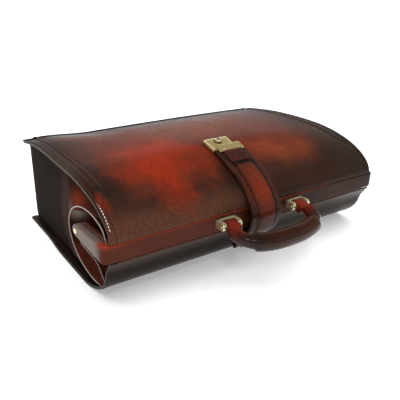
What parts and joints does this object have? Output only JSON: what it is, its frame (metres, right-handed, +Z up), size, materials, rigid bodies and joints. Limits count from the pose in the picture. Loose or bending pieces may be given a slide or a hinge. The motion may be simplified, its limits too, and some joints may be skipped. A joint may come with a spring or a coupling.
{
  "type": "leather frame briefcase",
  "caption": "Leather briefcase lying on its back, with a framed mouth that swings open, a folding closing strap with hasp and lock, and a swinging padded handle.",
  "frame": {"origin": "middle of the flat underside of the back panel, on the surface that the case lies on", "axes": "+X along the width to the right as seen from the handle, +Y from the mouth to the bottom of the case, +Z up through the front panel"},
  "size_m": [0.467, 0.3703, 0.1567],
  "materials": {
    "case_leather": "glossy burnished leather, nearly black at the edges",
    "front_leather": "glossy burnished leather, red brown in the middle",
    "side_leather": "glossy dark brown leather",
    "frame_leather": "glossy red brown leather",
    "strap_leather": "glossy red brown leather with a raised middle",
    "handle_leather": "glossy dark brown leather",
    "brass": "polished brass, worn at the edges",
    "steel": "plain steel",
    "lining": "plain woven lining",
    "padding": "felt padding",
    "board": "stiff fibre board"
  },
  "bodies": {
    "case": {"back_panel": "case_leather", "back_lining": "lining", "bottom_panel": "case_leather", "bottom_board": "board", "gusset_left": "side_leather", "gusset_right": "side_leather", "gusset_fold_left": "side_leather", "gusset_fold_right": "side_leather", "back_welt_left": "case_leather", "back_welt_right": "case_leather", "outer_frame_core": "steel", "outer_frame_cover": "frame_leather", "frame_piping": "frame_leather", "rivet_left": "brass", "rivet_right": "brass", "handle_bracket_left": "brass", "handle_bracket_right": "brass", "handle_pin_left": "brass", "handle_pin_right": "brass", "bracket_screws": "brass", "strap_lower": "strap_leather", "strap_pad_lower": "strap_leather"},
    "inner_frame": {"inner_frame_core": "steel", "inner_frame_cover": "frame_leather"},
    "front_cover": {"front_panel": "front_leather", "front_padding": "padding", "front_lining": "lining", "front_collar": "front_leather", "front_welt_left": "front_leather", "front_welt_right": "front_leather", "lock_base": "brass", "lock_body": "brass", "lock_rivets": "brass"},
    "lock_button": {"push_button": "brass"},
    "key": {"key_plug": "steel"},
    "bolt": {"latch_bolt": "steel"},
    "strap": {"strap_flap": "strap_leather", "strap_pad": "strap_leather", "hasp_plate": "brass", "hasp_hook": "brass", "hasp_rivets": "brass", "pull_tab": "strap_leather"},
    "handle": {"handle_core": "steel", "handle_grip": "handle_leather", "handle_tab_left": "handle_leather", "handle_tab_right": "handle_leather"}
  },
  "joints": [
    {"name": "mouth_open", "type": "hinge", "parent": "case", "child": "inner_frame", "pos_m": [0, -0.1075, 0.077], "axis": [-1, 0, 0], "range_deg": [0, 55]},
    {"name": "cover_lift", "type": "hinge", "parent": "case", "child": "front_cover", "pos_m": [0, 0.1105, 0.126], "axis": [-1, 0, 0], "range_deg": [0, 13.8]},
    {"name": "strap_lift", "type": "hinge", "parent": "case", "child": "strap", "pos_m": [0, -0.19516, 0.09649], "axis": [1, 0, 0], "range_deg": [0, 120]},
    {"name": "handle_swing", "type": "hinge", "parent": "case", "child": "handle", "pos_m": [0, -0.1985, 0.079], "axis": [-1, 0, 0], "range_deg": [-60, 95]},
    {"name": "button_press", "type": "slide", "parent": "front_cover", "child": "lock_button", "axis": [0, 0.2582, -0.9661], "range_m": [0, 0.0012], "stiffness_N_per_m": 400, "springref_m": -0.0004},
    {"name": "key_turn", "type": "hinge", "parent": "lock_button", "child": "key", "pos_m": [-0.006, -0.09322, 0.15492], "axis": [0, -0.2582, 0.9661], "range_deg": [0, 90]},
    {"name": "bolt_throw", "type": "slide", "parent": "front_cover", "child": "bolt", "axis": [0, -0.9661, -0.2582], "range_m": [0, 0.0024]}
  ],
  "couplings": [
    {"joint": "cover_lift", "follows": "mouth_open", "ratio": 0.25},
    {"joint": "strap_lift", "follows": "mouth_open", "ratio": 2.18},
    {"joint": "key_turn", "follows": "bolt_throw", "rad_per_m": 654.4}
  ]
}
